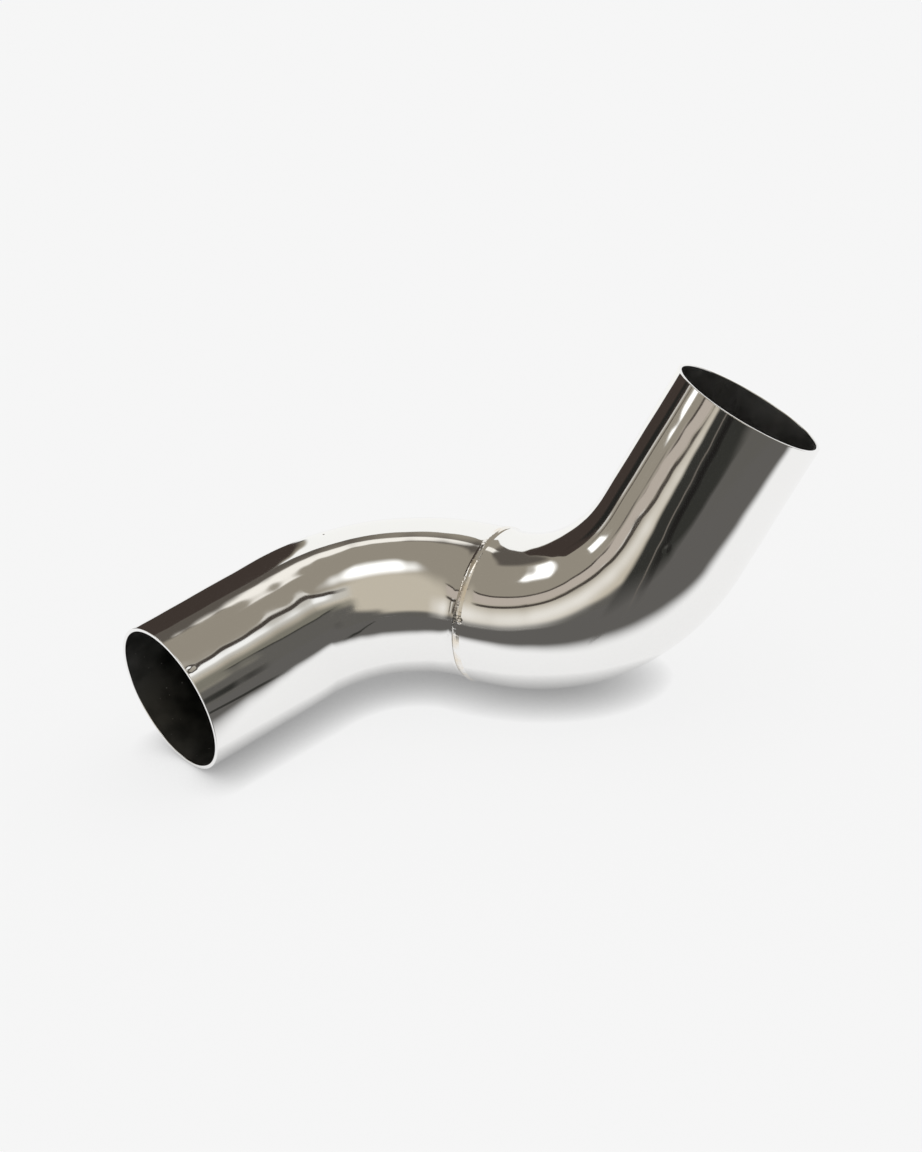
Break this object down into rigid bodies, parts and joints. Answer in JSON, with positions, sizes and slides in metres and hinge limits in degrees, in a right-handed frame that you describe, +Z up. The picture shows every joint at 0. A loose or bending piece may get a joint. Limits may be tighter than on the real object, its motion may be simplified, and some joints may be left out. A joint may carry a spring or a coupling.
{
  "type": "exhaust pipe",
  "caption": "Polished stainless exhaust connecting pipe: two thin-walled bent tube elbows butt-welded end to end into a twisted S, with plain open ends.",
  "frame": {"origin": "on the floor under the middle of the pipe's bounding box, as the pipe lies", "axes": "+X runs level from the front mouth to the raised rear mouth, +Z is up, +Y is the third axis, away from the side in the picture"},
  "size_m": [0.2848, 0.1074, 0.1309],
  "materials": {
    "polished_steel": "mirror-polished stainless steel outside, dull dark bore",
    "weld_steel": "bright rippled weld metal"
  },
  "bodies": {
    "root": {"front_elbow": "polished_steel", "rear_elbow": "polished_steel", "weld_bead": "weld_steel"}
  },
  "joints": []
}
